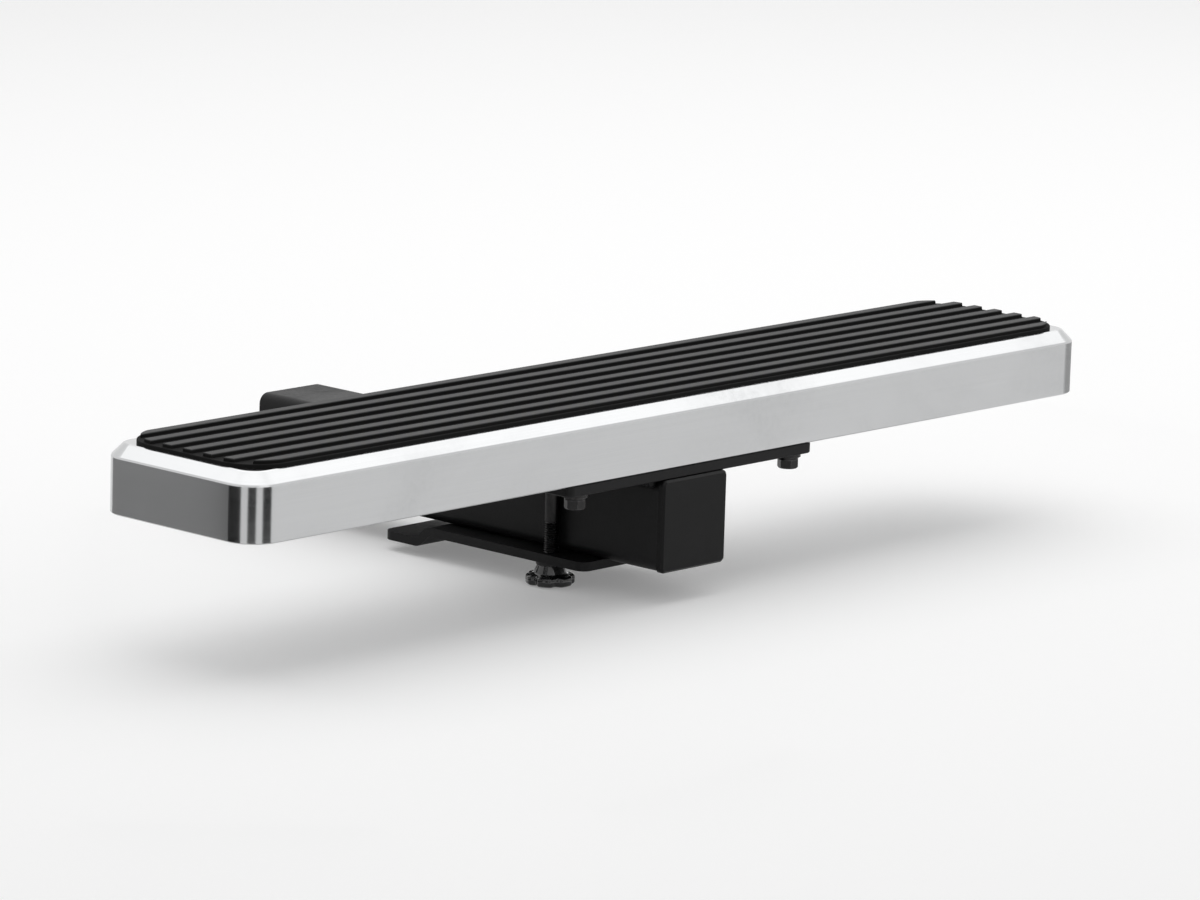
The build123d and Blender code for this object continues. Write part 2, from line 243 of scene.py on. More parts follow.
short_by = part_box("clamp_nut")[0].z - nut_tail - rod_low.z
leg_length = crown_z - rod_bend - rod_low.z
arc_length = rod_bend * math.pi / 2
crown_length = 2 * (leg_x - rod_bend)
even_length = 2 * (leg_length + arc_length) + crown_length
rod_length = even_length - short_by
print("rod", round(rod_length / MM, 1), "mm long, its nut's leg", round(short_by / MM, 1), "mm shorter")


# %% The line of the U-bolt
def rod_place(along):
    """Centre of the bent rod and its outward direction, at a distance from the tip of its long leg."""
    if along > even_length / 2:
        centre, outward = rod_place(even_length - along)
        return Vector((-centre.x, centre.y, centre.z)), Vector((-outward.x, outward.y, outward.z))
    if along < leg_length:
        return Vector((-leg_x, rod_y, rod_low.z + along)), -X_AXIS
    angle = (along - leg_length) / rod_bend
    if angle > math.pi / 2:
        run = along - leg_length - arc_length
        return Vector((rod_bend - leg_x + run, rod_y, crown_z)), Z_AXIS
    outward = Vector((-math.cos(angle), 0, math.sin(angle)))
    return Vector((rod_bend - leg_x, rod_y, crown_z - rod_bend)) + rod_bend * outward, outward


crown_middle = rod_place(even_length / 2)[0]
print("crown's middle in mm:", [round(value / MM, 1) for value in crown_middle])

# %% The U-bolt
bend_run = [leg_length + arc_length * step / bend_steps for step in range(bend_steps + 1)]
bend_run += [even_length - along for along in reversed(bend_run)]
rod_rows = tip_rows(0, 1, rod_radius)
rod_rows += thread_rows(TIP_CONE, leg_thread, rod_radius, rod_pitch)
rod_rows += [plain_row(along, rod_radius) for along in bend_run]
rod_rows += thread_rows(even_length - leg_thread, rod_length - TIP_CONE, rod_radius, rod_pitch)
rod_rows += reversed(tip_rows(rod_length, -1, rod_radius))
rod_mesh = bmesh.new()
skin(rod_mesh, [rod_points(row, rod_place) for row in rod_rows])
make_piece(rod_mesh, "threaded_u_bolt", "step", "black_hardware", "clamp_u_bolt")

# %% [markdown]
# ## The rail bolts
# Four hexagon bolts hang from the rails of the board. Only their tails show below the nuts, so those get
# the same thread, and the heads stay plain hexagons with turned corners. A hexagon is a ring with six
# sides, so the row helper serves again.

# %% Sizes and places of the rail bolts
bolt_low, bolt_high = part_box("rail_bolts")
bolt_radius = 3.0 * MM
bolt_pitch = 1.0 * MM
bolt_flats = 10.0 * MM
bolt_head = 4.0 * MM
bolt_thread = 16.0 * MM
head_chamfer = 0.7 * MM
head_sides = 6
corner_reach = bolt_flats / math.sqrt(3)
bolt_places = [
    (x, y)
    for x in (bolt_low.x + corner_reach, bolt_high.x - corner_reach)
    for y in (bolt_low.y + bolt_flats / 2, bolt_high.y - bolt_flats / 2)
]
head_seat = bolt_high.z - bolt_head
bolt_length = head_seat - bolt_low.z
print(len(bolt_places), "bolts,", round(bolt_length / MM, 1), "mm below the head")


# %% The rail bolts
def hexagon_row(x, y, z, reach):
    """Six corners and the first again."""
    turns = [2 * math.pi * corner / head_sides for corner in range(head_sides + 1)]
    return [Vector((x + reach * math.cos(turn), y + reach * math.sin(turn), z)) for turn in turns]


def upright_place(x, y, foot):
    """Place function of a straight upright rod."""
    def place(along):
        return Vector((x, y, foot + along)), -X_AXIS
    return place


bolt_rows = tip_rows(0, 1, bolt_radius)
bolt_rows += thread_rows(TIP_CONE, bolt_thread, bolt_radius, bolt_pitch)
bolt_rows += [plain_row(bolt_length, bolt_radius), plain_row(bolt_length, 0)]
head_rows = [(head_seat, 0), (head_seat, corner_reach), (bolt_high.z - head_chamfer, corner_reach)]
head_rows += [(bolt_high.z, corner_reach - head_chamfer), (bolt_high.z, 0)]
bolt_mesh = bmesh.new()
for x, y in bolt_places:
    bolt_place = upright_place(x, y, bolt_low.z)
    skin(bolt_mesh, [rod_points(row, bolt_place) for row in bolt_rows])
    skin(bolt_mesh, [hexagon_row(x, y, z, reach) for z, reach in head_rows])
make_piece(bolt_mesh, "threaded_rail_bolts", "step", "black_hardware", "rail_bolts")

# %% [markdown]
# ## The end-cap screws
# Each end cap is held by two pan-head screws, driven from below. The domed head is a turned shape, and
# the cross in it is pressed in with a punch. A Boolean does the same as the punch: it takes a tapered
# cross away from the head. The result is read back from the modifier, so that no tool stays behind in the
# scene.

# %% Sizes and places of the cap screws
screw_low, screw_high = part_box("end_cap_screws")
screw_radius = 2.5 * MM
screw_head_radius = 4.5 * MM
screw_head_height = 3.0 * MM
screw_head_rim = 1.35 * MM
dome_fullness = 0.8
dome_steps = 8
cross_reach = 2.3 * MM
cross_width = 1.1 * MM
cross_depth = 1.7 * MM
cross_taper = 0.55
screw_seat = screw_low.z + screw_head_height
screw_places = [
    (x, y)
    for x in (screw_low.x + screw_head_radius, screw_high.x - screw_head_radius)
    for y in (screw_low.y + screw_head_radius, screw_high.y - screw_head_radius)
]
print(len(screw_places), "screws,", round((screw_high.z - screw_low.z) / MM, 1), "mm long")


# %% The turned screw and its punch
def ring(z, radius):
    """One ring about the Z axis."""
    return [Vector((radius * math.cos(turn), radius * math.sin(turn), z)) for turn in TURNS]


def pan_head_screw():
    """Rings of a screw whose domed head points down, about the Z axis."""
    rings = [ring(screw_low.z, 0)]
    for step in range(1, dome_steps + 1):
        angle = math.pi / 2 * step / dome_steps
        height = (screw_head_height - screw_head_rim) * (1 - math.cos(angle))
        rings.append(ring(screw_low.z + height, screw_head_radius * math.sin(angle) ** dome_fullness))
    rings += [ring(screw_seat, screw_head_radius), ring(screw_seat, screw_radius)]
    rings += [ring(screw_high.z, screw_radius), ring(screw_high.z, 0)]
    return rings


def cross_bar(half_x, half_y):
    """Rows of one bar of the cross, which is drawn in along X towards its upper end."""
    corners = [(-1, -1), (1, -1), (1, 1), (-1, 1), (-1, -1)]
    bottom = screw_low.z - cross_depth
    top = screw_low.z + cross_depth
    rows = [[Vector((0, 0, bottom))] * len(corners)]
    for z, stretch in ((bottom, 1 + cross_taper), (top, 1 - cross_taper)):
        rows.append([Vector((half_x * stretch * a, half_y * b, z)) for a, b in corners])
    rows.append([Vector((0, 0, top))] * len(corners))
    return rows


punch_bars = {
    "punch_x": cross_bar(cross_reach, cross_width / 2),
    "punch_y": cross_bar(cross_width / 2, cross_reach),
}
print("a cross of", len(punch_bars), "bars,", round(cross_depth / MM, 1), "mm deep")


# %% The cap screws
def scratch_object(rows, name):
    """A closed object for a Boolean."""
    mesh = bmesh.new()
    skin(mesh, rows)
    clean(mesh)
    return new_object(mesh, name)


def subtract(target, cutters, name):
    """Mesh of the target with the cutters taken away. The scratch objects are removed."""
    for cutter in cutters:
        modifier = target.modifiers.new(cutter.name, "BOOLEAN")
        modifier.operation = "DIFFERENCE"
        modifier.solver = "EXACT"
        modifier.object = cutter
    graph = bpy.context.evaluated_depsgraph_get()
    result = bpy.data.meshes.new_from_object(target.evaluated_get(graph))
    result.name = name
    for scratch in [target, *cutters]:
        bpy.data.objects.remove(scratch)
    return result


bars = [scratch_object(rows, name) for name, rows in punch_bars.items()]
screw_pattern = subtract(scratch_object(pan_head_screw(), "screw_blank"), bars, "screw_pattern")
screws_mesh = bmesh.new()
for x, y in screw_places:
    count = len(screws_mesh.verts)
    screws_mesh.from_mesh(screw_pattern)
    bmesh.ops.translate(screws_mesh, verts=list(screws_mesh.verts)[count:], vec=(x, y, 0))
bpy.data.meshes.remove(screw_pattern)
make_piece(screws_mesh, "cross_recess_screws", "step", "black_hardware", "end_cap_screws")

# %% [markdown]
# ## The weld beads
# The cross bars are welded to the shank. A weld freezes in small overlapping crescents, one for each
# pulse of the torch, and the crescents are what the eye knows it by. Each bead is a quarter-round swept
# along the corner. Its radius swells and steps down again with every crescent, and the crescents bow
# forward in the middle, where the metal stays liquid longest. A seeded random draw keeps them from being
# all alike.

# %% Sizes and places of the weld beads
bead_low, bead_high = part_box("weld_beads")
bead_corner_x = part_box("shank_tube")[1].x
bead_corner_z = bead_high.z
bead_radius = bead_high.x - bead_corner_x
bead_stop = 2.0 * MM
bead_runs = [
    (bead_low.y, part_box("rear_cross_bar")[1].y - bead_stop),
    (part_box("front_cross_bar")[0].y + bead_stop, bead_high.y),
]
bead_end = 2.2 * MM
bead_end_share = 0.25
bead_rows = 110
bead_columns = 14
crescent_pitch = 2.3 * MM
crescent_height = 0.55 * MM
crescent_bow = 1.5 * MM
crescent_fall = 1.5
crescent_round = 0.5
crescent_least = 0.75
most_crescents = 20
draw = random.Random(11)
print(2 * len(bead_runs), "beads of", round(bead_radius / MM, 1), "mm")


# %% The weld beads
def bead_row(side, start, length, along, swell):
    """One row across a bead, from the bar's underside round to the shank's side, and the hidden corner."""
    ends = min(along, length - along, bead_end) / bead_end
    shoulder = math.sqrt(max(1 - (1 - ends) ** 2, 0))
    fullness = bead_end_share + (1 - bead_end_share) * shoulder
    row = []
    for column in range(bead_columns + 1):
        across = column / bead_columns
        bowed = along + crescent_bow * 4 * across * (1 - across)
        count, phase = divmod(bowed / crescent_pitch, 1)
        ridge = (1 - phase) ** crescent_fall * math.sin(math.pi * across) ** crescent_round
        height = swell[int(count)] * crescent_height * ridge
        radius = (bead_radius - crescent_height + height) * fullness
        angle = -math.pi / 2 * across
        x = bead_corner_x + radius * math.cos(angle)
        row.append(Vector((side * x, start + along, bead_corner_z + radius * math.sin(angle))))
    hidden_corner = Vector((side * bead_corner_x, start + along, bead_corner_z))
    return [hidden_corner, *row, hidden_corner]


bead_mesh = bmesh.new()
for side in (-1, 1):
    for start, stop in bead_runs:
        length = stop - start
        swell = [draw.uniform(crescent_least, 1.0) for crescent in range(most_crescents)]
        distances = [length * step / bead_rows for step in range(bead_rows + 1)]
        rows = [bead_row(side, start, length, along, swell) for along in distances]
        first, last = rows[0], rows[-1]
        skin(bead_mesh, [[first[0]] * len(first), *rows, [last[0]] * len(last)])
make_piece(bead_mesh, "rippled_weld_beads", "step", "black_powder_coat", "weld_beads")

# %% [markdown]
# ## The hand knob
# A hand knob is moulded round a threaded bush: a lobed head for the fingers below a tapered hub. Seen
# close, what says moulded is roundness: soft rims, a filleted foot on the hub, a shallow dish in the face
# and a fine mould line round the head. All of that is one closed profile turned about the axis, and the
# lobes come from pulling the head's rings in at six places by a smooth wave.

# %% Sizes of the knob
knob_low, knob_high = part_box("left_clamp_knob")
knob_radius = (knob_high.y - knob_low.y) / 2
knob_height = knob_high.z - knob_low.z
head_height = 5.5 * MM
rim_round = 1.5 * MM
mould_line = 0.09 * MM
dish_start = 6.6 * MM
dish_end = 10.0 * MM
dish_slope = 0.6 * MM
dish_depth = 0.5 * MM
hub_foot = 9.0 * MM
hub_top = 7.5 * MM
hub_round = 0.7 * MM
foot_round = 1.4 * MM
bush_radius = 6.02 * MM
bush_depth = 8.0 * MM
tip_hole = 4.6 * MM
lobes = 6
scallop_depth = 2.0 * MM
scallop_half = math.radians(17)
knob_sides = 144
arc_steps = 5
print("knob", round(2 * knob_radius / MM, 1), "mm wide and", round(knob_height / MM, 1), "mm high")


# %% The profile of the knob
def arc(centre_radius, centre_height, size, start, end):
    """Points of a rounding in the profile, as (radius, height), between two angles in degrees."""
    angles = [math.radians(start + (end - start) * step / arc_steps) for step in range(arc_steps + 1)]
    return [(centre_radius + size * math.cos(a), centre_height + size * math.sin(a)) for a in angles]


def lobed(points):
    """Profile points that follow the lobes."""
    return [(radius, height, 1) for radius, height in points]


def turned(points):
    """Profile points that stay round."""
    return [(radius, height, 0) for radius, height in points]


def knob_profile():
    """Closed profile from the knob's face, out round the head, up the hub and back down the bore."""
    head_middle = head_height / 2
    profile = turned([(tip_hole, 0), (dish_start, 0), (dish_start + dish_slope, dish_depth)])
    profile += turned([(dish_end - dish_slope, dish_depth), (dish_end, 0)])
    profile += lobed(arc(knob_radius - rim_round, rim_round, rim_round, -90, 0))
    profile += lobed([(knob_radius, head_middle - 2 * mould_line), (knob_radius + mould_line, head_middle)])
    profile += lobed([(knob_radius, head_middle + 2 * mould_line)])
    profile += lobed(arc(knob_radius - rim_round, head_height - rim_round, rim_round, 0, 90))
    profile += turned(arc(hub_foot + foot_round, head_height + foot_round, foot_round, 270, 180))
    profile += turned(arc(hub_top - hub_round, knob_height - hub_round, hub_round, 0, 90))
    profile += turned([(bush_radius, knob_height), (bush_radius, knob_height - bush_depth)])
    profile += turned([(tip_hole, knob_height - bush_depth), (tip_hole, 0)])
    return profile


print("profile of", len(knob_profile()), "points")


# %% The knob
def scallop(turn):
    """How far the head is pulled in at a turn about its axis."""
    pitch = 2 * math.pi / lobes
    off = abs((turn + pitch / 2) % pitch - pitch / 2)
    if off > scallop_half:
        return 0
    return scallop_depth * math.cos(math.pi / 2 * off / scallop_half) ** 2


def knob_ring(radius, height, lobe):
    """One ring of the knob, about the axis of the U-bolt's long leg."""
    points = []
    for side in range(knob_sides + 1):
        turn = 2 * math.pi * side / knob_sides
        reach = radius - lobe * scallop(turn)
        x = reach * math.cos(turn) - leg_x
        y = reach * math.sin(turn) + rod_y
        points.append(Vector((x, y, knob_low.z + height)))
    return points


knob_mesh = bmesh.new()
skin(knob_mesh, [knob_ring(*point) for point in knob_profile()])
make_piece(knob_mesh, "lobed_hand_knob", "left_knob", "black_plastic", "left_clamp_knob")

# %% [markdown]
# ## Node helpers
# Every finish is a small tree of nodes round one Principled shader. A few helpers keep the trees
# readable: one puts a node in a tree and another sets or wires its inputs by name, so that a finish reads
# as a list of what feeds what. An effect that several finishes share becomes a node group with named
# sockets, built once and placed in each with its own values.

# %% Nodes, groups and finishes
finishes = {}


def wire(tree, node, inputs):
    """Sets the inputs of a node. Each is either a plain value or the socket that feeds it."""
    for name, value in inputs.items():
        if isinstance(value, bpy.types.NodeSocket):
            tree.links.new(value, node.inputs[name])
        else:
            node.inputs[name].default_value = value


def put(tree, kind, inputs=None, **settings):
    """One node in a tree, with its settings and inputs."""
    made = tree.nodes.new("ShaderNode" + kind)
    for name, value in settings.items():
        setattr(made, name, value)
    wire(tree, made, inputs or {})
    return made


def new_group(name, inputs, outputs):
    """A node group with float inputs and their usual values, and float outputs."""
    tree = bpy.data.node_groups.new(name, "ShaderNodeTree")
    for label, value in inputs.items():
        socket = tree.interface.new_socket(label, in_out="INPUT", socket_type="NodeSocketFloat")
        socket.default_value = value
    for label in outputs:
        tree.interface.new_socket(label, in_out="OUTPUT", socket_type="NodeSocketFloat")
    return tree, tree.nodes.new("NodeGroupInput"), tree.nodes.new("NodeGroupOutput")


def use_group(tree, group, **inputs):
    """A placed copy of a group."""
    return put(tree, "Group", inputs, node_tree=group)


def new_finish(name):
    """A material with its tree and its Principled shader, kept under its name."""
    finishes[name] = bpy.data.materials.new("finish_" + name)
    finishes[name].use_nodes = True
    tree = finishes[name].node_tree
    return tree, tree.nodes["Principled BSDF"]


print("helpers for nodes, groups and finishes")

# %% Points, masks and colours
MIX_FIRST_COLOUR = 6
MIX_SECOND_COLOUR = 7
MIX_COLOUR_OUT = 2


def object_point(tree):
    """The point on the piece, in metres."""
    return put(tree, "TexCoord").outputs["Object"]


def weigh(tree, operation, first, second):
    """A Math node on two values."""
    return put(tree, "Math", {0: first, 1: second}, operation=operation).outputs[0]


def spread(tree, value, low, high):
    """A 0 to 1 mask that rises smoothly between two values."""
    ends = {"Value": value, "From Min": low, "From Max": high}
    return put(tree, "MapRange", ends, interpolation_type="SMOOTHSTEP").outputs["Result"]


def remap(tree, mask, first, last, start=0.0):
    """A value that goes straight from the first to the last as a mask goes from its start to 1."""
    ends = {"Value": mask, "From Min": start, "To Min": first, "To Max": last}
    return put(tree, "MapRange", ends).outputs["Result"]


def blend_colour(tree, mask, first, second):
    """A colour that goes from the first to the second with a mask."""
    inputs = {"Factor": mask}
    for index, colour in ((MIX_FIRST_COLOUR, first), (MIX_SECOND_COLOUR, second)):
        inputs[index] = colour if isinstance(colour, bpy.types.NodeSocket) else (*colour, 1)
    return put(tree, "Mix", inputs, data_type="RGBA").outputs[MIX_COLOUR_OUT]


def bump(tree, height, distance, strength):
    """A normal from a height."""
    inputs = {"Height": height, "Distance": distance, "Strength": strength}
    return put(tree, "Bump", inputs).outputs["Normal"]


print("helpers for points, masks and colours")

# %% [markdown]
# ## Brushed lines
# Four things happen to the surfaces of this step, and each becomes a group that puts out one mask or
# height, so that a finish decides by itself what the mask changes. The first is brushing, which leaves
# long fine lines in metal. Noise that is stretched along the board and squeezed in height gives them
# without any picture.

# %% Brushed lines
brushed_lines, lines_in, lines_out = new_group("brushed_lines", {"Along": 7.0, "Across": 2400.0}, ["Line"])
along, across = lines_in.outputs["Along"], lines_in.outputs["Across"]
stretch = put(brushed_lines, "CombineXYZ", {0: along, 1: along, 2: across}).outputs[0]
factors = {0: object_point(brushed_lines), 1: stretch}
stretched = put(brushed_lines, "VectorMath", factors, operation="MULTIPLY").outputs[0]
line_noise = put(
    brushed_lines,
    "TexNoise",
    {"Vector": stretched, "Scale": 1.0, "Detail": 4.0, "Roughness": 0.65},
)
wire(brushed_lines, lines_out, {"Line": line_noise.outputs["Fac"]})
print("group", brushed_lines.name)

# %% [markdown]
# ## Pebbled skin
# Moulding, powder coating and a blackening bath all leave a skin of small pebbles, of a size that tells
# them apart. Two layers of noise, a broad one and a fine one of a lesser share, look less regular than
# one.

# %% Pebbled skin
fine_ratio = 3.7
fine_share = 0.35
pebbled_skin, skin_in, skin_out = new_group("pebbled_skin", {"Pebbles": 900.0}, ["Height"])
pebble_point = object_point(pebbled_skin)
pebbles = skin_in.outputs["Pebbles"]
broad = put(pebbled_skin, "TexNoise", {"Vector": pebble_point, "Scale": pebbles, "Detail": 1.5})
fine_scale = weigh(pebbled_skin, "MULTIPLY", pebbles, fine_ratio)
fine = put(pebbled_skin, "TexNoise", {"Vector": pebble_point, "Scale": fine_scale, "Detail": 1.0})
lesser = weigh(pebbled_skin, "MULTIPLY", fine.outputs["Fac"], fine_share)
wire(pebbled_skin, skin_out, {"Height": weigh(pebbled_skin, "ADD", broad.outputs["Fac"], lesser)})
print("group", pebbled_skin.name)

# %% [markdown]
# ## Handling marks
# Hands and cloths leave soft patches of a duller gloss, with finer streaks in them. Large distorted noise,
# cut to its upper part, gives the patches, and a finer noise times that gives the streaks.

# %% Handling marks
handling_marks, marks_in, marks_out = new_group("handling_marks", {"Patches": 14.0}, ["Mark"])
mark_point = object_point(handling_marks)
patches = put(
    handling_marks,
    "TexNoise",
    {"Vector": mark_point, "Scale": marks_in.outputs["Patches"], "Detail": 5.0, "Distortion": 0.8},
)
patch_mask = spread(handling_marks, patches.outputs["Fac"], low=0.45, high=0.75)
streaks = put(handling_marks, "TexNoise", {"Vector": mark_point, "Scale": 260.0, "Detail": 3.0})
mark = weigh(handling_marks, "MULTIPLY", patch_mask, streaks.outputs["Fac"])
wire(handling_marks, marks_out, {"Mark": mark})
print("group", handling_marks.name)

# %% [markdown]
# ## Worn edges
# Edges lose their coat first. A Bevel node tells where an edge is: within its radius the rounded normal
# turns away from the true one. Noise breaks the line up, because wear is never even.

# %% Worn edges
worn_edges, edges_in, edges_out = new_group("worn_edges", {"Width": 0.6 * MM}, ["Edge"])
rounded = put(worn_edges, "Bevel", {"Radius": edges_in.outputs["Width"]}, samples=6).outputs[0]
true_normal = put(worn_edges, "NewGeometry").outputs["True Normal"]
agreement = put(worn_edges, "VectorMath", {0: rounded, 1: true_normal}, operation="DOT_PRODUCT")
turned_away = weigh(worn_edges, "SUBTRACT", 1.0, agreement.outputs["Value"])
wear_noise = put(
    worn_edges,
    "TexNoise",
    {"Vector": object_point(worn_edges), "Scale": 420.0, "Detail": 3.0},
)
wear_share = spread(worn_edges, wear_noise.outputs["Fac"], low=0.3, high=0.65)
near_edge = spread(worn_edges, turned_away, low=0.01, high=0.2)
wire(worn_edges, edges_out, {"Edge": weigh(worn_edges, "MULTIPLY", near_edge, wear_share)})
print("group", worn_edges.name)

# %% [markdown]
# ## Bright aluminium
# The deck is an extrusion and its caps are castings, both brushed along their length and then brightened.
# Bright metal shows its surroundings far more than its own colour, so what matters is how sharp the
# reflection is and how the fine lines blur it. The lines therefore drive the roughness and a very shallow
# bump, and only a little of the colour.

# %% The bright aluminium
line_dark = (0.515, 0.52, 0.525)
line_light = (0.605, 0.61, 0.615)
handled_metal = (0.50, 0.505, 0.51)
handled_dulling = 0.12
tree, shader = new_finish("bright_aluminium")
line = use_group(tree, brushed_lines, Along=7.0, Across=2400.0).outputs["Line"]
mark = use_group(tree, handling_marks, Patches=11.0).outputs["Mark"]
metal = blend_colour(tree, line, line_dark, line_light)
brushed_gloss = remap(tree, line, first=0.11, last=0.24)
dulled = weigh(tree, "MULTIPLY", mark, handled_dulling)
wire(tree, shader, {
    "Base Color": blend_colour(tree, mark, metal, handled_metal),
    "Metallic": 1.0,
    "Roughness": weigh(tree, "ADD", brushed_gloss, dulled),
    "Normal": bump(tree, line, distance=0.01 * MM, strength=0.25),
})
print("finish bright_aluminium")

# %% [markdown]
# ## Tread rubber
# The tread is moulded black rubber. Its rib tops are rubbed by shoes, so they are greyer and a little
# smoother than the grooves, which keep the dull skin of the mould. The grey of the tops is also a painted
# sheen, and the near-black of the grooves and rib sides is painted shade. Height alone tells the two apart,
# so the mask is the height below the pad's top, read from the solid, and the pebbled skin and rubbed
# patches break up the grey.

# %% The tread rubber
pad_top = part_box("tread_pad")[1].z
# The mask rises between these heights: real wear with a painted sheen on the tops, and painted shade below
# them.
top_wear_and_shade_from = pad_top - 0.8 * MM
top_wear_and_shade_to = pad_top - 0.1 * MM
# The groove colour is painted shade in the grooves and on the rib sides, and the lighter rib colours are
# partly a painted sheen.
groove_painted_shade = (0.004, 0.004, 0.004)
rib_dark = (0.033, 0.033, 0.0335)
rib_light = (0.062, 0.062, 0.063)
rubbed_grey = (0.074, 0.0735, 0.073)
tree, shader = new_finish("tread_rubber")
height = put(tree, "SeparateXYZ", {0: object_point(tree)}).outputs["Z"]
# Mask of the rib tops: worn and painted with a sheen where it is 1, painted shade in the grooves where it
# is 0.
top_wear_and_painted_light = spread(tree, height, top_wear_and_shade_from, top_wear_and_shade_to)
mould_skin = use_group(tree, pebbled_skin, Pebbles=1600.0).outputs["Height"]
mark = use_group(tree, handling_marks, Patches=18.0).outputs["Mark"]
rib_top = blend_colour(tree, mould_skin, rib_dark, rib_light)
rubbed = blend_colour(tree, mark, rib_top, rubbed_grey)
wire(tree, shader, {
    "Base Color": blend_colour(tree, top_wear_and_painted_light, groove_painted_shade, rubbed),
    "Roughness": remap(tree, top_wear_and_painted_light, first=0.9, last=0.6),
    "Specular IOR Level": 0.18,
    "Normal": bump(tree, mould_skin, distance=0.06 * MM, strength=0.7),
})
print("finish tread_rubber, rib tops at", round(pad_top / MM, 1), "mm")

# %% [markdown]
# ## Black powder coat
# The steel of the shank, bars and plate is coated with baked black powder. Such a coat is smooth only from
# afar: close by it has the skin of an orange, and on edges it is thin. The pebbled skin gives the first and
# the worn edges the second; their lighter colour is worn coat and also a painted highlight along the edges.

# %% The powder coat
coat_dark = (0.004, 0.004, 0.0042)
coat_light = (0.007, 0.007, 0.0074)
# The lighter edge colour is thin worn coat and also a painted highlight along the edges.
edge_coat_and_highlight = (0.024, 0.024, 0.0255)
handled_coat = (0.010, 0.010, 0.0105)
handled_dulling = 0.2
tree, shader = new_finish("black_powder_coat")
peel = use_group(tree, pebbled_skin, Pebbles=650.0).outputs["Height"]
edge = use_group(tree, worn_edges, Width=0.7 * MM).outputs["Edge"]
mark = use_group(tree, handling_marks, Patches=22.0).outputs["Mark"]
coat = blend_colour(tree, peel, coat_dark, coat_light)
thin_coat_and_highlight = blend_colour(tree, edge, coat, edge_coat_and_highlight)
peel_gloss = remap(tree, peel, first=0.34, last=0.46)
dulled = weigh(tree, "MULTIPLY", mark, handled_dulling)
wire(tree, shader, {
    "Base Color": blend_colour(tree, mark, thin_coat_and_highlight, handled_coat),
    "Roughness": weigh(tree, "ADD", peel_gloss, dulled),
    "Specular IOR Level": 0.17,
    "Normal": bump(tree, peel, distance=0.09 * MM, strength=0.6),
})
print("finish black_powder_coat")

# %% [markdown]
# ## Black hardware
# Bolts, nuts, washers and the bent rod are steel with a black oxide skin. It is metal, so its gloss is
# tinted dark, a little uneven from the bath, and its corners are rubbed to bare steel by spanners.

# %% The black hardware
oxide_dark = (0.018, 0.0185, 0.020)
oxide_light = (0.042, 0.041, 0.0405)
bare_steel = (0.16, 0.16, 0.163)
tree, shader = new_finish("black_hardware")
bath = use_group(tree, pebbled_skin, Pebbles=320.0).outputs["Height"]
fine_skin = use_group(tree, pebbled_skin, Pebbles=2600.0).outputs["Height"]
edge = use_group(tree, worn_edges, Width=0.45 * MM).outputs["Edge"]
oxide = blend_colour(tree, bath, oxide_dark, oxide_light)
wire(tree, shader, {
    "Base Color": blend_colour(tree, edge, oxide, bare_steel),
    "Metallic": 1.0,
    "Roughness": remap(tree, bath, first=0.24, last=0.42),
    "Normal": bump(tree, fine_skin, distance=0.02 * MM, strength=0.6),
})
print("finish black_hardware")

# %% [markdown]
# ## Black nylon
# The end plug of the shank is moulded in black nylon. The mould's spark-worn skin is finer than an orange
# peel, and handling polishes the proud edges, so there the worn edges lower the roughness and leave the
# colour as it is.

# %% The black nylon
nylon_dark = (0.003, 0.003, 0.0032)
nylon_light = (0.006, 0.006, 0.0063)
handled_nylon = (0.010, 0.010, 0.0105)
tree, shader = new_finish("black_plastic")
spark_skin = use_group(tree, pebbled_skin, Pebbles=2200.0).outputs["Height"]
edge = use_group(tree, worn_edges, Width=0.9 * MM).outputs["Edge"]
mark = use_group(tree, handling_marks, Patches=30.0).outputs["Mark"]
nylon = blend_colour(tree, spark_skin, nylon_dark, nylon_light)
wire(tree, shader, {
    "Base Color": blend_colour(tree, mark, nylon, handled_nylon),
    "Roughness": remap(tree, edge, first=0.32, last=0.16),
    "Specular IOR Level": 0.14,
    "Normal": bump(tree, spark_skin, distance=0.05 * MM, strength=0.6),
})
print("finish black_plastic")

# %% [markdown]
# ## The polished knob
# The hand knob is the same nylon out of a polished mould, so its lobes catch small sharp lights that the
# end plug does not show. A clear coat over the dark body is the plain way to such lights, and finger marks
# take the coat's gloss off in patches.

# %% The polished nylon
nylon_dark = (0.003, 0.003, 0.0032)
nylon_light = (0.007, 0.007, 0.0073)
handled_nylon = (0.012, 0.012, 0.0125)
tree, shader = new_finish("polished_knob")
spark_skin = use_group(tree, pebbled_skin, Pebbles=1800.0).outputs["Height"]
mark = use_group(tree, handling_marks, Patches=60.0).outputs["Mark"]
nylon = blend_colour(tree, spark_skin, nylon_dark, nylon_light)
wire(tree, shader, {
    "Base Color": blend_colour(tree, mark, nylon, handled_nylon),
    "Roughness": remap(tree, mark, first=0.2, last=0.4),
    "Specular IOR Level": 0.2,
    "Coat Weight": remap(tree, mark, first=1.0, last=0.3),
    "Coat Roughness": 0.08,
    "Normal": bump(tree, spark_skin, distance=0.02 * MM, strength=0.4),
})
print("finish polished_knob")

# %% [markdown]
# ## Turned brass
# The knob is moulded round a brass bush. A lathe leaves rings about the bush's axis, so the pattern is a
# wave over the distance from that axis, which is the axis of the U-bolt's long leg.

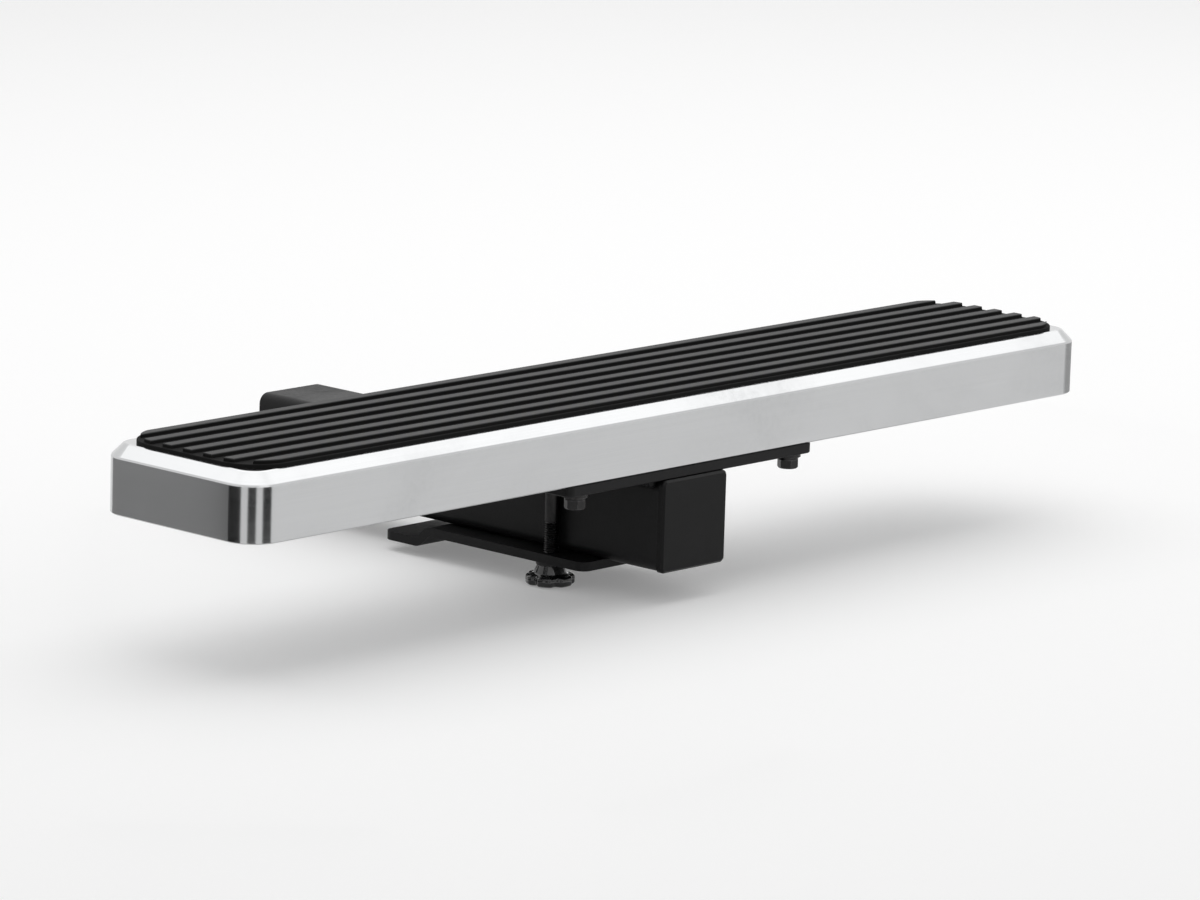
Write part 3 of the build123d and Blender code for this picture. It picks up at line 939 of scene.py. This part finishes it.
# %% The turned brass
ring_pitch = 0.35 * MM
brass = (0.62, 0.47, 0.22)
handled_brass = (0.42, 0.30, 0.14)
tree, shader = new_finish("insert_brass")
point = put(tree, "SeparateXYZ", {0: object_point(tree)})
from_axis = put(tree, "CombineXYZ", {
    0: weigh(tree, "ADD", point.outputs["X"], leg_x),
    1: weigh(tree, "SUBTRACT", point.outputs["Y"], rod_y),
})
distance = put(tree, "VectorMath", {0: from_axis.outputs[0]}, operation="LENGTH").outputs["Value"]
phase = weigh(tree, "MULTIPLY", distance, 2 * math.pi / ring_pitch)
wave = put(tree, "Math", {0: phase}, operation="SINE").outputs[0]
mark = use_group(tree, handling_marks, Patches=90.0).outputs["Mark"]
wire(tree, shader, {
    "Base Color": blend_colour(tree, mark, brass, handled_brass),
    "Metallic": 1.0,
    "Roughness": remap(tree, wave, first=0.2, last=0.34, start=-1.0),
    "Normal": bump(tree, wave, distance=0.02 * MM, strength=0.5),
})
print("finish insert_brass")

# %% [markdown]
# ## Dressing the pieces
# The record names a finish slot for every solid, and the new meshes carry the name of theirs. One loop
# gives each the material of its slot, so nothing can be forgotten. The knob alone has a finish of its own,
# a polished kind of its slot's nylon.

# %% Give every piece its finish
slot_of_node = {row["node"]: row["material_slot"] for row in frame["record"]["subparts"]}
own_finish = {"lobed_hand_knob": "polished_knob"}
pieces = list(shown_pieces())
for piece in pieces:
    slot = piece.get("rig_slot") or slot_of_node[piece.name]
    piece.data.materials.clear()
    piece.data.materials.append(finishes[own_finish.get(piece.name, slot)])
print(len(pieces), "pieces dressed in", len(finishes), "finishes")

# %% [markdown]
# ## The studio floor and the world
# Bright metal is lit by what it mirrors, so the studio is made for the reflections. A pale floor fills the
# long face of the board with an even grey. It is clear when it is seen from below, so that a view of the
# underside is not blocked. Floor and world are lifted towards white only for the rays that see them, which
# keeps the light on the step at a plain level.

# %% The floor
floor_size = 14.0
floor_gap = 0.5 * MM
floor_z = solid_box[0].z - floor_gap
floor_grey = 0.8
floor_lift = 0.2
white = (1, 1, 1, 1)


def sees_stage(tree):
    """1 for rays that should see the plain white studio: from the camera, mirrored or through glass."""
    path = put(tree, "LightPath")
    mirrored = weigh(tree, "MAXIMUM", path.outputs["Is Camera Ray"], path.outputs["Is Glossy Ray"])
    return weigh(tree, "MAXIMUM", mirrored, path.outputs["Is Transmission Ray"])


def flat_card(name, centre, across, upward, width, height):
    """A rectangle that belongs to the studio and not to the step."""
    half_across = across * width / 2
    half_upward = upward * height / 2
    corners = [(-1, -1), (1, -1), (1, 1), (-1, 1)]
    mesh = bmesh.new()
    mesh.faces.new([mesh.verts.new(centre + half_across * a + half_upward * b) for a, b in corners])
    card = new_object(mesh, name)
    return card


floor = flat_card("studio_floor", Z_AXIS * floor_z, X_AXIS, Y_AXIS, floor_size, floor_size)
floor_material = bpy.data.materials.new("studio_floor")
floor_material.use_nodes = True
tree = floor_material.node_tree
matt = tree.nodes["Principled BSDF"]
wire(tree, matt, {
    "Base Color": (floor_grey, floor_grey, floor_grey, 1),
    "Roughness": 0.8,
    "Specular IOR Level": 0.1,
})
lift = weigh(tree, "MULTIPLY", sees_stage(tree), floor_lift)
glow = put(tree, "Emission", {"Color": white, "Strength": lift})
lifted = put(tree, "AddShader", {0: matt.outputs[0], 1: glow.outputs[0]})
from_below = put(tree, "NewGeometry").outputs["Backfacing"]
clear = put(tree, "BsdfTransparent")
one_sided = put(tree, "MixShader", {0: from_below, 1: lifted.outputs[0], 2: clear.outputs[0]})
wire(tree, tree.nodes["Material Output"], {"Surface": one_sided.outputs[0]})
floor.data.materials.append(floor_material)
print("floor at", round(floor_z / MM, 1), "mm")

# %% The world
world_level = 0.6
world = bpy.data.worlds.new("studio_world")
bpy.context.scene.world = world
world.use_nodes = True
tree = world.node_tree
level = remap(tree, sees_stage(tree), first=world_level, last=1.0)
wire(tree, tree.nodes["Background"], {"Color": white, "Strength": level})
print("world at a level of", world_level)

# %% [markdown]
# ## The softboxes
# A large softbox overhead turns the chamfer round the board white, and a small one behind lifts the rear
# face. Both are placed from one point under the board, and neither shows to the camera.

# %% Softboxes
studio_middle = Vector((0, -0.165, 0))
overhead_middle = studio_middle + Vector((0.78, 0.53, 0))
overhead_place = overhead_middle + Z_AXIS * 1.65
rear_place = studio_middle + Vector((-0.4, -2.5, 1.3))


def softbox(name, place, aim, width, height, brightness):
    """A rectangular lamp with a stated brightness of its face."""
    lamp = bpy.data.lights.new(name, "AREA")
    lamp.shape = "RECTANGLE"
    lamp.size = width
    lamp.size_y = height
    lamp.energy = brightness * math.pi * width * height
    holder = bpy.data.objects.new(name, lamp)
    holder.location = place
    holder.rotation_euler = (aim - place).to_track_quat("-Z", "Y").to_euler()
    holder.visible_camera = False
    bpy.context.scene.collection.objects.link(holder)


softbox("overhead_softbox", overhead_place, overhead_middle, width=3.65, height=2.65, brightness=0.75)
softbox("rear_softbox", rear_place, studio_middle, width=1.6, height=0.9, brightness=0.4)
print("softboxes placed")

# %% [markdown]
# ## The dark cards
# A rounded corner of bright metal mirrors half the room in a few millimetres. Dark cards that stand round
# it draw stripes there, as in a real studio. Two paler cards grey the left end of the board and its right
# corner, and a low one keeps the side of the shank black. The cards are seen by reflections alone, so they
# cast no shadow and stay out of the picture.

# %% Dark cards
corner_round = 17.0 * MM
rear_left = Vector((solid_box[0].x + corner_round, solid_box[0].y + corner_round, 0))
rear_right = Vector((solid_box[1].x - corner_round, solid_box[0].y + corner_round, 0))
board_card_height = 0.085
shank_card_height = 0.042
card_black = 0.01
blind_rays = ("camera", "diffuse", "transmission", "volume_scatter", "shadow")


def dark_card(name, middle, turn, distance, width, height=board_card_height, grey=card_black):
    """A dark card on the floor, at a distance and a turn in degrees from a point, for reflections alone."""
    angle = math.radians(turn)
    out = Vector((math.cos(angle), math.sin(angle), 0))
    centre = middle + out * distance
    centre.z = floor_z + height / 2
    card = flat_card(name, centre, Vector((-out.y, out.x, 0)), Z_AXIS, width, height)
    for ray in blind_rays:
        setattr(card, "visible_" + ray, False)
    material = bpy.data.materials.new(name)
    material.use_nodes = True
    paint = material.node_tree.nodes["Principled BSDF"]
    wire(material.node_tree, paint, {"Base Color": (grey, grey, grey, 1), "Specular IOR Level": 0})
    card.data.materials.append(material)
    return card


cards = [
    dark_card("corner_card_end", rear_left, turn=162, distance=0.22, width=0.20),
    dark_card("corner_card_middle", rear_left, turn=224, distance=0.28, width=0.14),
    dark_card("corner_card_face", rear_left, turn=276, distance=0.28, width=0.16),
    dark_card("end_card", rear_left, turn=128, distance=0.24, width=0.34, grey=0.42),
    dark_card("right_corner_card", rear_right, turn=2, distance=0.28, width=0.42, grey=0.6),
    dark_card("shank_card", studio_middle, turn=137, distance=0.26, width=0.30, height=shank_card_height),
]
print(len(cards), "dark cards placed")

# %% [markdown]
# ## The camera
# The step is seen from its rear left, a little above the tread, through a long lens that keeps its edges
# nearly parallel. The aim, the lens and a slight roll were worked out from the board's edges in the
# photograph.

# %% The camera
camera_place = Vector((-2.5314, -2.5162, 0.7278))
camera_aim = Vector((-0.0074, -0.1874, 0.0301))
camera_lens = 194.0
camera_film = 36.0
camera_roll = 0.031
camera = bpy.data.objects.new("camera", bpy.data.cameras.new("camera"))
camera.data.lens = camera_lens
camera.data.sensor_width = camera_film
camera.location = camera_place
look = (camera_aim - camera_place).to_track_quat("-Z", "Y") @ Quaternion(Z_AXIS, camera_roll)
camera.rotation_euler = look.to_euler()
bpy.context.scene.collection.objects.link(camera)
bpy.context.scene.camera = camera
bpy.context.scene.view_settings.view_transform = "Standard"
print("camera", round((camera_aim - camera_place).length, 3), "m away")
